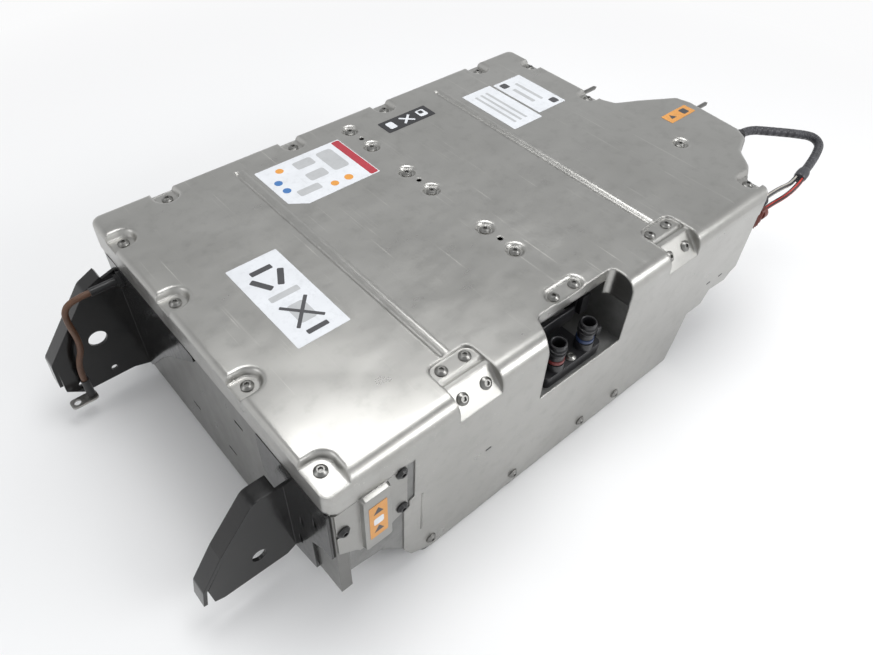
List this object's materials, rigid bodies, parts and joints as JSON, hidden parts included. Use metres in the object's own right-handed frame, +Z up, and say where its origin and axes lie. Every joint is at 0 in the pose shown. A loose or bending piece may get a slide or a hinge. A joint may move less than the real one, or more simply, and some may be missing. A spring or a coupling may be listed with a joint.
{
  "type": "ev battery module",
  "caption": "Boxed traction battery: pressed steel lid with bolt wells over a cast tub of cell rows, with brackets, hose notch and connector loop.",
  "frame": {"origin": "underside of the tub, below the middle bolt row of the lid", "axes": "+X along the length towards the connector end, +Y towards the back, +Z up"},
  "size_m": [0.9769, 0.4573, 0.2312],
  "materials": {
    "lid_steel": "satin",
    "cast_aluminium": "matt cast",
    "black_paint": "gloss",
    "screw_steel": "dark zinc",
    "black_screw": "black",
    "pin_steel": "dull",
    "seal_rubber": "matt",
    "black_plastic": "satin",
    "red_plastic": "satin",
    "orange_plastic": "satin",
    "white_plastic": "satin",
    "foil": "crumpled bright",
    "cell_can": "satin",
    "plate_aluminium": "mill",
    "grey_plastic": "satin",
    "white_sticker": "satin film",
    "black_film": "satin film",
    "orange_film": "satin film",
    "cloth_tape": "taped",
    "cable_jacket": "brown jacket",
    "shrink_sleeve": "satin",
    "tinned_copper": "dull tin"
  },
  "bodies": {
    "root": {"lid": "lid_steel", "end_panel": "lid_steel", "front_cover_plate": "lid_steel", "tray": "cast_aluminium", "near_bracket": "black_paint", "far_bracket": "black_paint", "edge_screws": "screw_steel", "dimple_screws": "screw_steel", "seat_screws": "screw_steel", "slope_screws": "screw_steel", "apron_screws": "screw_steel", "manifold_screw": "screw_steel", "cover_plate_screws": "black_screw", "ground_stud": "black_screw", "locating_pins": "pin_steel", "rim_gasket": "seal_rubber", "coolant_manifold": "black_plastic", "niche_plug": "black_plastic", "black_connector": "black_plastic", "harness_connector": "black_plastic", "vent_cap": "black_plastic", "cell_controller": "black_plastic", "red_connector": "red_plastic", "high_voltage_socket": "orange_plastic", "junction_box_cover": "orange_plastic", "socket_insert": "white_plastic", "upper_contact_covers": "white_plastic", "lower_contact_covers": "white_plastic", "niche_foil": "foil", "upper_cells_1": "cell_can", "upper_cells_2": "cell_can", "upper_cells_3": "cell_can", "upper_cells_4": "cell_can", "lower_cells_1": "cell_can", "lower_cells_2": "cell_can", "upper_end_plates": "plate_aluminium", "lower_end_plates": "plate_aluminium", "upper_cooling_plate": "plate_aluminium", "lower_cooling_plate": "plate_aluminium", "centre_crossmember": "plate_aluminium", "side_crossmembers": "plate_aluminium", "lower_crossmember": "plate_aluminium", "cooler_support": "plate_aluminium", "junction_box": "grey_plastic", "recycling_sticker": "white_sticker", "caution_sticker": "white_sticker", "data_sticker": "white_sticker", "paper_sticker": "white_sticker", "black_sticker": "black_film", "orange_sticker": "orange_film", "cover_plate_sticker": "orange_film", "harness_loop": "cloth_tape", "harness_joint": "cloth_tape", "black_branch": "cloth_tape", "red_branch": "cloth_tape", "ground_cable": "cable_jacket", "upper_cable_sleeve": "shrink_sleeve", "lower_cable_sleeve": "shrink_sleeve", "ground_lug": "tinned_copper"}
  },
  "joints": []
}
